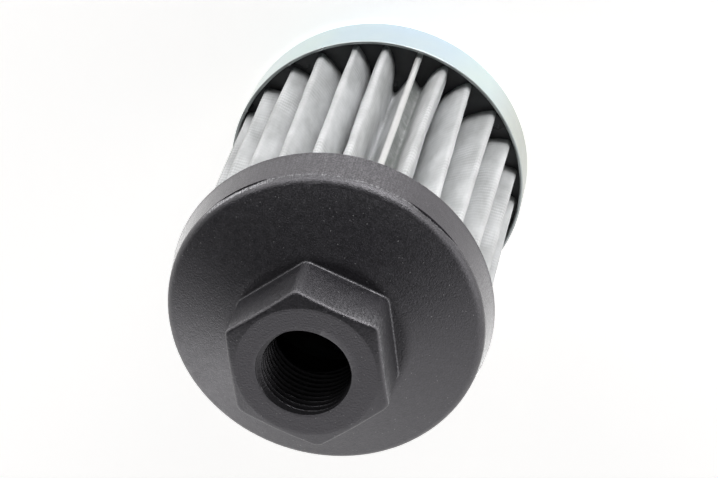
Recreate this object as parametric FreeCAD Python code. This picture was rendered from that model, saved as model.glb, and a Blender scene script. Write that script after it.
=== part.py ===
import FreeCAD, Part
import math
import os

# Suction filter for a hydraulic tank, modelled standing on its closed end.
# All sizes are in millimetres. Z runs along the axis towards the port, and z = 0 is the outside of the closed end.
# The hexagon has flats facing +X and -X, and corners on +Y and -Y.

# Pleated wire cloth
pleat_count = 27
pleat_tip_radius = 32.4
cloth_thickness = 0.35
cloth_core_gap = 0.15
tip_fold_radius = 0.75
tip_fold_facets = 2
root_fold_radius = 0.6
root_fold_facets = 1
pleat_belly = 1.1
pleat_belly_place = 0.62

# The pleats don't stand evenly. These are the shifts of the first and last tips round the seam,
# as shares of the even spacing between pleats.
first_tip_shifts = [0.015, -0.055, 0.05, 0.13, 0.16, 0.20]
last_tip_shifts = [0.0, 0.02, 0.075, 0.165, 0.20]
root_follows_tips = 0.6

# Clip that joins the two ends of the cloth
seam_azimuth = 65.5
clip_sheet = 0.35
clip_depth = 5.0
clip_proud = 0.25
seam_layer_gap = 0.1
seam_bend_radius = 1.0
seam_bend_facets = 1
clip_bend_facets = 3

# The first and last root folds stand off the core tube by these shares of the room below the seam
first_root_lift = 0.4
last_root_lift = 0.8

# Perforated core tube
core_radius = 17.0
core_sheet = 0.8
core_hole_width = 7.0
core_hole_sides = 6
core_holes_per_row = 6
core_row_pitch = 14.0
core_hole_margin = 3.0

# Closed end cap, a pressed cup
closed_cap_height = 12.0
closed_cap_sheet = 0.8
closed_cap_corner_radius = 2.0
closed_cap_corner_facets = 1
closed_cap_gap = 1.05

# Threaded end cap, one moulding
exposed_length = 59.4
skirt_length = 9.3
skirt_gap = 0.15
skirt_draft = 1.25
rim_wall = 0.95
rim_rounding = 1.2
rim_facets = 1
rim_roof = 2.6
cone_rise = 7.4
spigot_gap = 0.15
spigot_wall = 2.6
spigot_length = 5.0
port_roof = 3.0

# Hexagon and its port
hex_across_flats = 32.0
hex_height = 13.5
hex_corner_rounding = 2.0
hex_ledge = 0.4
face_circle_radius = 14.5
face_chamfer_angle = 15.0
port_minor_radius = 9.3155

# Depth of the resin's surface below each cap's edge
closed_resin_recess = 3.0
port_resin_recess = 3.0

# Heights along the axis
floor_z = closed_cap_sheet
lip_z = closed_cap_height
closed_resin_z = lip_z - closed_resin_recess
skirt_z = lip_z + exposed_length
port_resin_z = skirt_z + port_resin_recess
rim_z = skirt_z + skirt_length
roof_z = rim_z - rim_roof
spigot_z = roof_z - spigot_length
land_z = rim_z + cone_rise
port_bottom_z = land_z - port_roof
face_z = land_z + hex_height

# Radii that follow from what fits inside what
clip_outer_radius = pleat_tip_radius + clip_proud
skirt_inner_radius = clip_outer_radius + skirt_gap
rim_radius = skirt_inner_radius + rim_wall
skirt_radius = rim_radius + skirt_draft
closed_cap_inner_radius = clip_outer_radius + closed_cap_gap
closed_cap_radius = closed_cap_inner_radius + closed_cap_sheet
core_inner_radius = core_radius - core_sheet
spigot_radius = core_inner_radius - spigot_gap
chamber_radius = spigot_radius - spigot_wall
hex_corner_radius = hex_across_flats / math.sqrt(3)
land_radius = hex_corner_radius + hex_ledge

# The seam, measured from its middle plane
clip_slot_half_width = seam_layer_gap / 2 + cloth_thickness
clip_half_width = clip_slot_half_width + clip_sheet
seam_layer_middle = (seam_layer_gap + cloth_thickness) / 2
clip_bend_x = clip_outer_radius - clip_half_width
clip_mouth_x = clip_outer_radius - clip_depth

origin = FreeCAD.Vector(0, 0, 0)
up = FreeCAD.Vector(0, 0, 1)
outwards = FreeCAD.Vector(1, 0, 0)


def revolved(section):
    """Solid of revolution about Z of a closed outline given as (radius, z) corners."""
    corners = [FreeCAD.Vector(r, 0, z) for r, z in section]
    outline = Part.makePolygon(corners + corners[:1])
    return Part.Face(outline).revolve(origin, up, 360)


def extruded(points, bottom, top):
    """Prism between two heights over a closed outline in the XY plane."""
    prism = Part.Face(Part.makePolygon(points + points[:1])).extrude(up * (top - bottom))
    prism.translate(up * bottom)
    return prism


def disc(radius, bottom, top):
    """Solid cylinder about Z between two heights."""
    return Part.makeCylinder(radius, top - bottom, FreeCAD.Vector(0, 0, bottom), up)


# A round bend is drawn with a few flats that all touch its circle.
# The turn radius is positive where the line turns left, and negative where it turns right.

def swing_between(arrival, departure, turn_radius):
    """Angle turned through on a circle between two directions of travel, in radians."""
    swing = math.remainder(departure - arrival, 2 * math.pi)
    if swing * turn_radius < 0:
        swing += math.copysign(2 * math.pi, turn_radius)
    return swing


def bend_corners(x, y, turn_radius, arrival, swing, facets):
    """Corners of the flats round a circle at (x, y), for a line that arrives and swings round it."""
    step = swing / (facets + 1)
    reach = turn_radius / math.cos(step / 2)
    corners = []
    for number in range(facets + 1):
        angle = arrival + step * (number + 0.5)
        corners.append((x + reach * math.sin(angle), y - reach * math.cos(angle)))
    return corners


def rounded_corner(before, corner, after, radius, facets):
    """Corners that replace a left-hand corner of a section by a rounding of that radius."""
    arrival = math.atan2(corner[1] - before[1], corner[0] - before[0])
    departure = math.atan2(after[1] - corner[1], after[0] - corner[0])
    setback = radius * math.tan((departure - arrival) / 2)
    x = corner[0] - setback * math.cos(arrival) - radius * math.sin(arrival)
    y = corner[1] - setback * math.sin(arrival) + radius * math.cos(arrival)
    return bend_corners(x, y, radius, arrival, departure - arrival, facets)


# The cloth is drawn as a line that folds round a row of circles.
# A circle is given as (x, y, turn radius, facets). The ends of the cloth and its bellies are circles of no size.

def tip_shift(number):
    """Shift of a tip along the row, as a share of the spacing. The hidden tips lead from one seen row to the other."""
    last_start = pleat_count - len(last_tip_shifts)
    if number == 0 or number == pleat_count:
        return 0
    if number <= len(first_tip_shifts):
        return first_tip_shifts[number - 1]
    if number >= last_start:
        return last_tip_shifts[number - last_start]
    share = (number - len(first_tip_shifts)) / (last_start - len(first_tip_shifts))
    return first_tip_shifts[-1] * (1 - share) + last_tip_shifts[0] * share


def run_direction(start, end):
    """Direction of the straight run that touches both circles, in radians."""
    x1, y1, turn1, facets1 = start
    x2, y2, turn2, facets2 = end
    lean = math.asin((turn2 - turn1) / math.hypot(x2 - x1, y2 - y1))
    return math.atan2(y2 - y1, x2 - x1) - lean


def belly(root, tip, direction):
    """Corner of no size that bows the run between a root and a tip outwards, for a given direction of travel."""
    x = root[0] + (tip[0] - root[0]) * pleat_belly_place
    y = root[1] + (tip[1] - root[1]) * pleat_belly_place
    aside = root[2] + (tip[2] - root[2]) * pleat_belly_place + pleat_belly
    return x + aside * math.sin(direction), y - aside * math.cos(direction), 0, 0


def cloth_circles():
    """The circles from one end of the cloth to the other, with the seam on +X."""
    pitch = 2 * math.pi / pleat_count
    tip_centre = pleat_tip_radius - cloth_thickness / 2 - tip_fold_radius
    root_centre = core_radius + cloth_core_gap + cloth_thickness / 2 + root_fold_radius
    bend_x = clip_mouth_x - seam_bend_radius
    bend_y = seam_layer_middle + seam_bend_radius
    lifts = [0] * pleat_count
    lifts[0] = first_root_lift * (bend_x - root_centre)
    lifts[-1] = last_root_lift * (bend_x - root_centre)
    roots = []
    tips = []
    for number in range(pleat_count):
        follow = root_follows_tips * (tip_shift(number) + tip_shift(number + 1)) / 2
        angle = (number + 0.5 + follow) * pitch
        reach = root_centre + lifts[number]
        roots.append((reach * math.cos(angle), reach * math.sin(angle), -root_fold_radius, root_fold_facets))
    for number in range(1, pleat_count):
        angle = (number + tip_shift(number)) * pitch
        tips.append((tip_centre * math.cos(angle), tip_centre * math.sin(angle), tip_fold_radius, tip_fold_facets))
    circles = [(clip_bend_x, seam_layer_middle, 0, 0), (bend_x, bend_y, -seam_bend_radius, seam_bend_facets)]
    for root, tip, next_root in zip(roots, tips, roots[1:]):
        circles += [root, belly(root, tip, run_direction(root, tip)), tip]
        circles += [belly(next_root, tip, run_direction(tip, next_root))]
    circles.append(roots[-1])
    circles.append((bend_x, -bend_y, -seam_bend_radius, seam_bend_facets))
    circles.append((clip_bend_x, -seam_layer_middle, 0, 0))
    return circles


def cloth_face(circles, shift):
    """Points of one face of the cloth, which lies to the left of its middle by shift."""
    runs = [run_direction(start, end) for start, end in zip(circles, circles[1:])]
    points = []
    for number, (x, y, turn, facets) in enumerate(circles):
        arrival = runs[max(number - 1, 0)]
        departure = runs[min(number, len(runs) - 1)]
        swing = swing_between(arrival, departure, turn)
        points += bend_corners(x, y, turn - shift, arrival, swing, facets)
    return [FreeCAD.Vector(x, y, 0) for x, y in points]


def pleated_mesh():
    """One sheet of wire cloth, folded into pleats, with its two ends side by side at the seam."""
    circles = cloth_circles()
    outside = cloth_face(circles, -cloth_thickness / 2)
    inside = cloth_face(circles, cloth_thickness / 2)
    cloth = extruded(outside + inside[::-1], closed_resin_z, port_resin_z)
    cloth.rotate(origin, up, seam_azimuth)
    return cloth


def clip_face(half_width):
    """Points of one face of the clip, from its mouth round its bend and back."""
    bend = bend_corners(clip_bend_x, 0, half_width, 0, math.pi, clip_bend_facets)
    points = [(clip_mouth_x, -half_width)] + bend + [(clip_mouth_x, half_width)]
    return [FreeCAD.Vector(x, y, 0) for x, y in points]


def seam_clip():
    """Narrow strip folded over the two ends of the cloth, closed towards the outside."""
    outside = clip_face(clip_half_width)
    inside = clip_face(clip_slot_half_width)
    clip = extruded(outside + inside[::-1], closed_resin_z, port_resin_z)
    clip.rotate(origin, up, seam_azimuth)
    return clip


def core_punch(height, azimuth):
    """Prism that punches one hole through one side of the core tube."""
    corner_reach = core_hole_width / 2 / math.cos(math.pi / core_hole_sides)
    corners = []
    for number in range(core_hole_sides + 1):
        angle = 2 * math.pi * (number + 0.5) / core_hole_sides
        corners.append(FreeCAD.Vector(0, corner_reach * math.cos(angle), height + corner_reach * math.sin(angle)))
    punch = Part.Face(Part.makePolygon(corners)).extrude(outwards * core_radius * 2)
    punch.rotate(origin, up, azimuth)
    return punch


def core_tube():
    """Sheet steel tube inside the pleats, with staggered rows of holes between the two resin beds."""
    tube = disc(core_radius, floor_z, roof_z).cut(disc(core_inner_radius, floor_z, roof_z))
    lowest = closed_resin_z + core_hole_margin + core_hole_width / 2
    highest = port_resin_z - core_hole_margin - core_hole_width / 2
    gaps = int((highest - lowest) / core_row_pitch)
    first = (lowest + highest - gaps * core_row_pitch) / 2
    step = 360 / core_holes_per_row
    punches = []
    for row in range(gaps + 1):
        stagger = 0.5 * (row % 2)
        for place in range(core_holes_per_row):
            punches.append(core_punch(first + row * core_row_pitch, step * (place + stagger)))
    return tube.cut(punches)


def bowl_corner():
    """Corners of the rounding inside the closed cap, between its floor and its wall."""
    centre = (0, floor_z)
    corner = (closed_cap_inner_radius, floor_z)
    lip = (closed_cap_inner_radius, lip_z)
    radius = closed_cap_corner_radius - closed_cap_sheet
    return rounded_corner(centre, corner, lip, radius, closed_cap_corner_facets)


def closed_end_cap():
    """Pressed sheet steel cup with a rounding round its floor."""
    corner = (closed_cap_radius, 0)
    lip = (closed_cap_radius, lip_z)
    outside = [(0, 0)]
    outside += rounded_corner((0, 0), corner, lip, closed_cap_corner_radius, closed_cap_corner_facets)
    outside += [lip]
    inside = [(0, floor_z)] + bowl_corner() + [(closed_cap_inner_radius, lip_z)]
    return revolved(outside + inside[::-1])


def closed_end_resin():
    """Resin in the closed cap, round the foot of the core tube, with the cloth and the clip standing on it."""
    section = [(core_radius, floor_z)] + bowl_corner()
    section += [(closed_cap_inner_radius, closed_resin_z), (core_radius, closed_resin_z)]
    return revolved(section)


def port_end_resin():
    """Resin in the threaded cap, round the head of the core tube, up to the cap's roof."""
    pour = disc(skirt_inner_radius, port_resin_z, roof_z)
    return pour.cut(disc(core_radius, port_resin_z, roof_z))


def hexagon():
    """Hexagon of the threaded cap, with its front corners turned down to a circle."""
    corners = []
    for number in range(6):
        angle = math.radians(90 + 60 * number)
        corners.append(FreeCAD.Vector(hex_corner_radius * math.cos(angle), hex_corner_radius * math.sin(angle), 0))
    prism = extruded(corners, port_bottom_z, face_z)
    uprights = [e for e in prism.Edges if abs(e.Vertexes[0].Z - e.Vertexes[1].Z) > hex_height]
    prism = prism.makeFillet(hex_corner_rounding, uprights)
    drop = (hex_corner_radius - face_circle_radius) * math.tan(math.radians(face_chamfer_angle))
    turned = revolved([
        (0, port_bottom_z),
        (hex_corner_radius, port_bottom_z),
        (hex_corner_radius, face_z - drop),
        (face_circle_radius, face_z),
        (0, face_z),
    ])
    return prism.common(turned)


def threaded_end_cap():
    """Moulded cap: skirt, conical front, hexagon, port, and a spigot that centres the core tube."""
    skirt_edge = (skirt_radius, skirt_z)
    rim_corner = (rim_radius, rim_z)
    land_edge = (land_radius, land_z)
    section = [skirt_edge]
    section += rounded_corner(skirt_edge, rim_corner, land_edge, rim_rounding, rim_facets)
    section += [
        land_edge,
        (port_minor_radius, land_z),
        (port_minor_radius, port_bottom_z),
        (chamber_radius, port_bottom_z),
        (chamber_radius, spigot_z),
        (spigot_radius, spigot_z),
        (spigot_radius, roof_z),
        (skirt_inner_radius, roof_z),
        (skirt_inner_radius, skirt_z),
    ]
    port = disc(port_minor_radius, port_bottom_z, face_z)
    return revolved(section).fuse(hexagon().cut(port)).removeSplitter()


os.makedirs("parts", exist_ok=True)

nodes = {
    "threaded_end_cap": threaded_end_cap(),
    "closed_end_cap": closed_end_cap(),
    "pleated_mesh": pleated_mesh(),
    "seam_clip": seam_clip(),
    "core_tube": core_tube(),
    "closed_end_resin": closed_end_resin(),
    "port_end_resin": port_end_resin(),
}
for name, shape in nodes.items():
    shape.exportStep("parts/" + name + ".step")
    print(name, len(shape.Solids), "solid", round(shape.Volume, 1), "mm3", "valid", shape.isValid())
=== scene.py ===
import bmesh
import bpy
import math
import random
from mathutils import Matrix, Vector, noise


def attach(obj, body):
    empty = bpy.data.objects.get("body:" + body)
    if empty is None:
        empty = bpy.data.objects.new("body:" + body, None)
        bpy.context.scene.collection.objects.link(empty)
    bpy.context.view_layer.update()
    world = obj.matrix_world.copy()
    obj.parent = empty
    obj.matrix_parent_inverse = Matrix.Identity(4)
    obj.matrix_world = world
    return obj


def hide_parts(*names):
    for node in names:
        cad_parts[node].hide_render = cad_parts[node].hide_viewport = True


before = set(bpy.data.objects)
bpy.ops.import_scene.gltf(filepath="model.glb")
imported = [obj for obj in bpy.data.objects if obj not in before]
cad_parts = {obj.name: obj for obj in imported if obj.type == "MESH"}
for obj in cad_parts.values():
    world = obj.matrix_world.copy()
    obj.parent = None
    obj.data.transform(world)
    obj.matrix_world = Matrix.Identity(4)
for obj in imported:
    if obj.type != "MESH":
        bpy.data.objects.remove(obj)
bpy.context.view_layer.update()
mm = 0.001      # shapes below are in mm and degrees, with z up from the floor of the closed cap
random.seed(28)


# helpers for shapes

def blendTo(a, b, share):
    return a + (b - a) * share


def smoothStep(x, start, end):
    t = min(max((x - start) / (end - start), 0.0), 1.0)
    return t * t * (3 - 2 * t)


def window(x, start, full, less, end):
    # rises from the start until it is full, and falls away to the end
    return smoothStep(x, start, full) * (1 - smoothStep(x, less, end))


def waver(x, y, z):
    return noise.noise(Vector((x, y, z)))


def apart(degrees, side):
    # degrees between two directions, the shorter way round
    return abs((degrees - side + 180) % 360 - 180)


def polar(radius, degrees, z):
    turn = math.radians(degrees)
    return Vector((radius * math.cos(turn), radius * math.sin(turn), z)) * mm


def arcPoints(centreR, centreZ, radius, startDegrees, endDegrees, steps):
    # (r, z) points on a rounding, both ends included
    points = []
    for i in range(steps + 1):
        turn = math.radians(blendTo(startDegrees, endDegrees, i / steps))
        points.append((centreR + radius * math.cos(turn), centreZ + radius * math.sin(turn)))
    return points


def withSupport(start, end, inset=0.12):
    # rows inside a straight run, close to its ends, so that smooth shading stays flat between them
    near = min(inset / math.dist(start, end), 0.3)
    return [(blendTo(start[0], end[0], t), blendTo(start[1], end[1], t)) for t in (near, 0.5, 1 - near)]


def turnedRows(profile, angles):
    # profile is a list of (r, z), or of functions that give them for an angle
    def pointAt(shape, a):
        r, z = shape(a) if callable(shape) else shape
        return polar(r, a, z)
    return [[pointAt(shape, a) for a in angles] for shape in profile]


def addObject(name, data):
    thing = bpy.data.objects.new(name, data)
    bpy.context.scene.collection.objects.link(thing)
    return thing


def meshOf(name, points, faces):
    mesh = bpy.data.meshes.new(name)
    mesh.from_pydata([tuple(p) for p in points], [], faces)
    return mesh


def finishMesh(name, mesh, sharpDegrees):
    mesh.validate()
    mesh.polygons.foreach_set("use_smooth", [True] * len(mesh.polygons))
    mesh.set_sharp_from_angle(angle=math.radians(sharpDegrees))
    return addObject(name, mesh)


def gridObject(name, rows, closeRows, closeColumns, sharpDegrees):
    # rows of points become quads; closeColumns joins each row's end to its start
    rowCount, columnCount = len(rows), len(rows[0])
    faces = []
    for i in range(rowCount if closeRows else rowCount - 1):
        below, above = i * columnCount, (i + 1) % rowCount * columnCount
        for j in range(columnCount if closeColumns else columnCount - 1):
            k = (j + 1) % columnCount
            faces.append((below + j, below + k, above + k, above + j))
    return finishMesh(name, meshOf(name, [p for row in rows for p in row], faces), sharpDegrees)


def closeHole(piece, row, columns):
    # fans the first or last row of a turned piece to a point on the axis
    work = bmesh.new()
    work.from_mesh(piece.data)
    work.verts.ensure_lookup_table()
    ring = [work.verts[i] for i in range(row * columns, (row + 1) * columns)]
    centre = work.verts.new((0, 0, ring[0].co.z))
    for here, there in zip(ring, ring[1:] + ring[:1]):
        work.faces.new((here, there, centre)).smooth = True
    bmesh.ops.recalc_face_normals(work, faces=work.faces)
    work.to_mesh(piece.data)
    work.free()


def pointShade(piece, name, values):
    # a number for every point, which the material reads
    layer = piece.data.attributes.new(name, "FLOAT", "POINT")
    layer.data.foreach_set("value", values)


# helpers for materials

def startMaterial(name):
    mat = bpy.data.materials.new(name)
    mat.use_nodes = True
    return mat, mat.node_tree, mat.node_tree.nodes["Principled BSDF"]


def feed(node, inputs):
    # by name or number of the input: an output is linked to it, and a number or colour is set on it
    for key, value in inputs.items():
        socket = node.inputs[key]
        if isinstance(value, bpy.types.NodeSocket):
            node.id_data.links.new(value, socket)
        else:
            socket.default_value = (*value, 1) if socket.type == "RGBA" else value


def addNode(tree, kind, **settings):
    node = tree.nodes.new("ShaderNode" + kind)
    for setting, value in settings.items():
        setattr(node, setting, value)
    return node


def fedNode(kind, inputs, **settings):
    # a node in the same tree as the outputs that feed it
    tree = next(value.id_data for value in inputs.values() if isinstance(value, bpy.types.NodeSocket))
    node = addNode(tree, kind, **settings)
    feed(node, inputs)
    return node


def objectPlace(tree):
    return addNode(tree, "TexCoord").outputs["Object"]


def markNode(tree, name):
    return addNode(tree, "Attribute", attribute_name=name).outputs["Fac"]


def splitNode(vector):
    return fedNode("SeparateXYZ", {"Vector": vector}).outputs


def mathNode(operation, *values):
    return fedNode("Math", dict(enumerate(values)), operation=operation).outputs[0]


def times(first, second):
    return mathNode("MULTIPLY", first, second)


def plus(first, second):
    return mathNode("ADD", first, second)


def noiseNode(vector, scale, detail, roughness=0.5):
    inputs = {"Vector": vector, "Scale": scale, "Detail": detail, "Roughness": roughness}
    return fedNode("TexNoise", inputs).outputs["Fac"]


def stretchNode(vector, alongAxis):
    return fedNode("Mapping", {"Vector": vector, "Scale": (1, 1, alongAxis)}).outputs["Vector"]


def rangeNode(value, fromLow, fromHigh, toLow=0, toHigh=1):
    inputs = {"Value": value, "From Min": fromLow, "From Max": fromHigh, "To Min": toLow, "To Max": toHigh}
    return fedNode("MapRange", inputs).outputs["Result"]


def mixColours(share, first, second):
    return fedNode("Mix", {"Factor": share, "A": first, "B": second}, data_type="RGBA").outputs["Result"]


def bumpNode(height, strength, distance, previous=None):
    inputs = {"Height": height, "Strength": strength, "Distance": distance}
    if previous is not None:
        inputs["Normal"] = previous
    return fedNode("Bump", inputs).outputs["Normal"]


# the black moulding: grain, white specks, rubbed edges with painted highlights, painted light and shade round the
# skirt, painted shade in the bore and turning marks on the front ring

nylonLook = {
    "colour": (0.005, 0.0048, 0.0062), "paleColour": (0.009, 0.009, 0.010), "paleScale": 60,
    "grainColour": (0.041, 0.039, 0.046), "grainShare": 0.55,
    "grainScale": 2600, "grainHeight": 0.00012,
    "satinColour": (0.012, 0.010, 0.014),   # the skirt, which a finer mould leaves greyer
    "satinPale": (0.026, 0.023, 0.029), "satinScale": 240,
    "satinSheen": 0.85, "sheenRoughness": 0.33,
    "satinPolish": 0.25,        # how much less rough the skirt and the thread are
    "threadPolish": 0.16,
    "satinFlatness": 0.65,      # the share of the grain's height that the skirt lacks
    "ringColour": (0.039, 0.037, 0.042),    # the turned front
    "ringTurns": 9000, "ringHeight": 0.00002,
    # painted shade: the thread inside the bore is plain and dark
    "boreShadeColour": (0.012, 0.0117, 0.013),
    # pale specks: dust and fibre ends, with painted glints
    "speckAndGlintColour": (0.42, 0.42, 0.42), "speckStrength": 0.5,
    "speckScale": 1500, "speckSize": 0.17, "speckFrom": 0.80,
    # pale wear, also used as painted highlights on the rim and the hexagon, and as painted light round the skirt
    "rubbedAndLitColour": (0.50, 0.50, 0.52),
    "streaksAround": 90, "streaksAcross": 350,
    "roughness": (0.30, 0.43), "coarseScale": 700, "coarseHeight": 0.0001,
    "specular": 1.0, "boreShadeSpecular": 0.5, "specularTint": (0.97, 0.94, 1.0),
}


def blackNylonMaterial(name, sheen, specular):
    look = nylonLook
    mat, tree, shader = startMaterial(name)
    place = objectPlace(tree)
    axes = splitNode(place)
    x, y = axes["X"], axes["Y"]
    across = mathNode("SQRT", plus(times(x, x), times(y, y)))
    satin, ring, edge, thread = (markNode(tree, mark) for mark in ("satin", "frontRing", "rubbedAndLit", "threaded"))
    fine = noiseNode(place, look["grainScale"], 2.0, 0.7)
    coarse = noiseNode(place, look["coarseScale"], 4.0, 0.6)
    broad = noiseNode(place, look["paleScale"], 3.0)
    cloud = noiseNode(place, look["satinScale"], 5.0, 0.7)
    # tiny pale specks where fibre ends and dust sit on the surface, with painted glints off them, but not on the
    # skirt
    cells = fedNode("TexVoronoi", {"Vector": place, "Scale": look["speckScale"]}).outputs
    dot = mathNode("LESS_THAN", cells["Distance"], look["speckSize"])
    pick = fedNode("SeparateColor", {"Color": cells["Color"]}).outputs[0]
    speckAndGlint = times(dot, rangeNode(pick, look["speckFrom"], 1.0))
    speckAndGlint = times(speckAndGlint, mathNode("SUBTRACT", 1.0, satin))
    # short marks across the edges, where the part left its mould
    around = times(mathNode("ARCTAN2", y, x), look["streaksAround"])
    streakPlace = fedNode("CombineXYZ", {"X": around, "Y": times(across, look["streaksAcross"])})
    streaks = noiseNode(streakPlace.outputs["Vector"], 1.0, 2.0, 0.6)
    wornAndLit = times(rangeNode(fine, 0.42, 0.60, 0.08, 0.60), rangeNode(streaks, 0.35, 0.62, 0.30, 1.0))
    colour = mixColours(rangeNode(broad, 0.35, 0.7), look["colour"], look["paleColour"])
    colour = mixColours(rangeNode(fine, 0.42, 0.66, 0, look["grainShare"]), colour, look["grainColour"])
    colour = mixColours(ring, colour, look["ringColour"])
    satinShade = mixColours(rangeNode(cloud, 0.35, 0.65), look["satinColour"], look["satinPale"])
    colour = mixColours(satin, colour, satinShade)
    # pale rubbed wear, which also paints the highlights on the rim, the hexagon's edges and its base fillet, and
    # painted light and shade round the skirt
    colour = mixColours(times(edge, wornAndLit), colour, look["rubbedAndLitColour"])
    colour = mixColours(times(speckAndGlint, look["speckStrength"]), colour, look["speckAndGlintColour"])
    # painted shade: the thread inside the bore gets a plain dark colour
    colour = mixColours(thread, colour, look["boreShadeColour"])
    polishAndHighlight = plus(times(thread, look["threadPolish"]), times(satin, look["satinPolish"]))
    # faint rings left by turning the front face
    rings = mathNode("SINE", times(across, look["ringTurns"]))
    rough = mathNode("MULTIPLY_ADD", satin, -look["satinFlatness"], 1.0)
    relief = bumpNode(times(fine, rough), 0.8, look["grainHeight"])
    relief = bumpNode(times(coarse, rough), 0.3, look["coarseHeight"], relief)
    feed(shader, {
        "Base Color": colour,
        "Roughness": mathNode("SUBTRACT", rangeNode(coarse, 0.3, 0.7, *look["roughness"]), polishAndHighlight),
        "Normal": bumpNode(times(rings, ring), 0.12, look["ringHeight"], relief),
        "Specular IOR Level": specular,
        "Specular Tint": look["specularTint"],
        "Sheen Weight": sheen,
        "Sheen Roughness": look["sheenRoughness"],
    })
    return mat


zincLook = {
    "colour": (0.66, 0.775, 0.87), "greenColour": (0.72, 0.82, 0.805), "metal": 0.92,
    "blueSide": 76,     # the wall is bluest here, and greener and then more silvery away from it
    "silverColour": (0.81, 0.83, 0.81),
    "paintedShadeSide": -12,    # painted shade: the wall is painted darker towards this side
    "paintedShadeColour": (0.54, 0.565, 0.53),
    # metres out towards the blue side and towards the side of painted shade, between which each colour changes
    "greenReach": (0.028, 0.0345), "silverReach": (0.027, 0.010), "paintedShadeReach": (0.0235, 0.0325),
    # the sheared lip, painted darker as shade too
    "shadedLipColour": (0.40, 0.43, 0.43),
    "roughness": (0.26, 0.40),
    "tintScale": 45, "cloudScale": 260,
    "drawnLines": 2600, "lineStretch": 0.06, "lineHeight": 0.00001,
}


def reachNode(place, degrees):
    # how far a point lies out towards one side, in metres
    side = (math.cos(math.radians(degrees)), math.sin(math.radians(degrees)), 0)
    return fedNode("VectorMath", {0: place, 1: side}, operation="DOT_PRODUCT").outputs["Value"]


def zincMaterial():
    look = zincLook
    mat, tree, shader = startMaterial("zincPlatedSteel")
    place = objectPlace(tree)
    bluer = reachNode(place, look["blueSide"])
    towardsPaintedShade = reachNode(place, look["paintedShadeSide"])
    broad = noiseNode(place, look["tintScale"], 2.0)
    green = plus(rangeNode(bluer, *look["greenReach"], 0.4, -0.4), rangeNode(broad, 0.3, 0.7))
    colour = mixColours(green, look["colour"], look["greenColour"])
    colour = mixColours(rangeNode(bluer, *look["silverReach"]), colour, look["silverColour"])
    # painted shade on one side of the wall
    colour = mixColours(rangeNode(towardsPaintedShade, *look["paintedShadeReach"]), colour, look["paintedShadeColour"])
    cloud = noiseNode(place, look["cloudScale"], 4.0, 0.6)
    # fine lines along the wall from pressing, stretched along the axis
    lines = noiseNode(stretchNode(place, look["lineStretch"]), look["drawnLines"], 2.0)
    feed(shader, {
        "Base Color": mixColours(markNode(tree, "shearedAndShaded"), colour, look["shadedLipColour"]),
        "Metallic": look["metal"],
        "Roughness": rangeNode(cloud, 0.3, 0.7, *look["roughness"]),
        "Normal": bumpNode(lines, 0.15, look["lineHeight"]),
    })
    return mat


clothLook = {
    "colour": (0.75, 0.76, 0.77), "shadeColour": (0.42, 0.43, 0.43),
    "gluedColour": (0.345, 0.362, 0.352),   # where glue has soaked into the cloth
    "endShadeColour": (0.14, 0.145, 0.145),    # painted shade where the cloth goes down into the closed cap
    "endShadeFrom": (0.135, 0.085),    # decimetres up the cloth
    "ribsNearRim": (0.59, 0.70),    # decimetres up, where the ribs come out
    "warpPitch": 0.46,      # mm between the wires along the pleats
    "weftShare": 0.42, "warpShare": 0.16, "weaveHeight": 0.00008,
    "weftShift": 0.006, "shiftScale": 160, "patchScale": 85, "blotchScale": 420,
    "cloudScale": 210, "cloudStretch": 0.4,
    "roughness": 0.50,
    "metal": 0.20,
}


def clothMaterial():
    look = clothLook
    mat, tree, shader = startMaterial("steelWireCloth")
    # the map is in decimetres, along the fold and up the axis
    sheet = splitNode(addNode(tree, "UVMap", uv_map="clothPlace").outputs["UV"])
    place = objectPlace(tree)

    def wires(along, pitch):
        return mathNode("SINE", times(along, 2 * math.pi * 100 / pitch))

    shift = rangeNode(noiseNode(place, look["shiftScale"], 2.0), 0.0, 1.0, -look["weftShift"], look["weftShift"])
    weft = wires(plus(sheet["Y"], shift), pleatShape["ribPitch"])
    warp = wires(sheet["X"], look["warpPitch"])
    weave = plus(times(weft, look["weftShare"]), times(warp, look["warpShare"]))
    # the ribs show only in places; elsewhere the cloth looks cloudy, in streaks along the folds
    patches = rangeNode(noiseNode(place, look["patchScale"], 2.0), 0.48, 0.68, 0.06, 0.50)
    showing = plus(patches, rangeNode(sheet["Y"], *look["ribsNearRim"]))
    cloud = noiseNode(stretchNode(place, look["cloudStretch"]), look["cloudScale"], 4.0, 0.55)
    clouded = rangeNode(cloud, 0.28, 0.72, 0.15, 1.05)
    share = mathNode("MULTIPLY_ADD", weave, showing, clouded)
    colour = mixColours(share, look["shadeColour"], look["colour"])
    blotches = rangeNode(noiseNode(place, look["blotchScale"], 4.0, 0.65), 0.38, 0.60, 0.35, 1.0)
    colour = mixColours(times(markNode(tree, "glued"), blotches), colour, look["gluedColour"])
    uneven = rangeNode(cloud, 0.3, 0.7, -0.006, 0.006)
    # painted shade, darker towards the closed end
    endShade = rangeNode(plus(sheet["Y"], uneven), *look["endShadeFrom"], 0.0, 0.8)
    feed(shader, {
        "Base Color": mixColours(endShade, colour, look["endShadeColour"]),
        "Metallic": look["metal"],
        "Roughness": look["roughness"],
        "Normal": bumpNode(times(weave, showing), 0.8, look["weaveHeight"]),
    })
    return mat


steelLooks = {
    "cloudScale": 220, "lineStretch": 0.05, "lineHeight": 0.00003,
    "clipSteel": {"colour": (0.76, 0.76, 0.75), "darkShare": 0.92, "metal": 0.55,
                  "roughness": (0.30, 0.42), "lines": 3000},
    "coreSteel": {"colour": (0.46, 0.47, 0.48), "darkShare": 0.78, "metal": 0.9,
                  "roughness": (0.35, 0.55), "lines": 1800},
}


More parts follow.
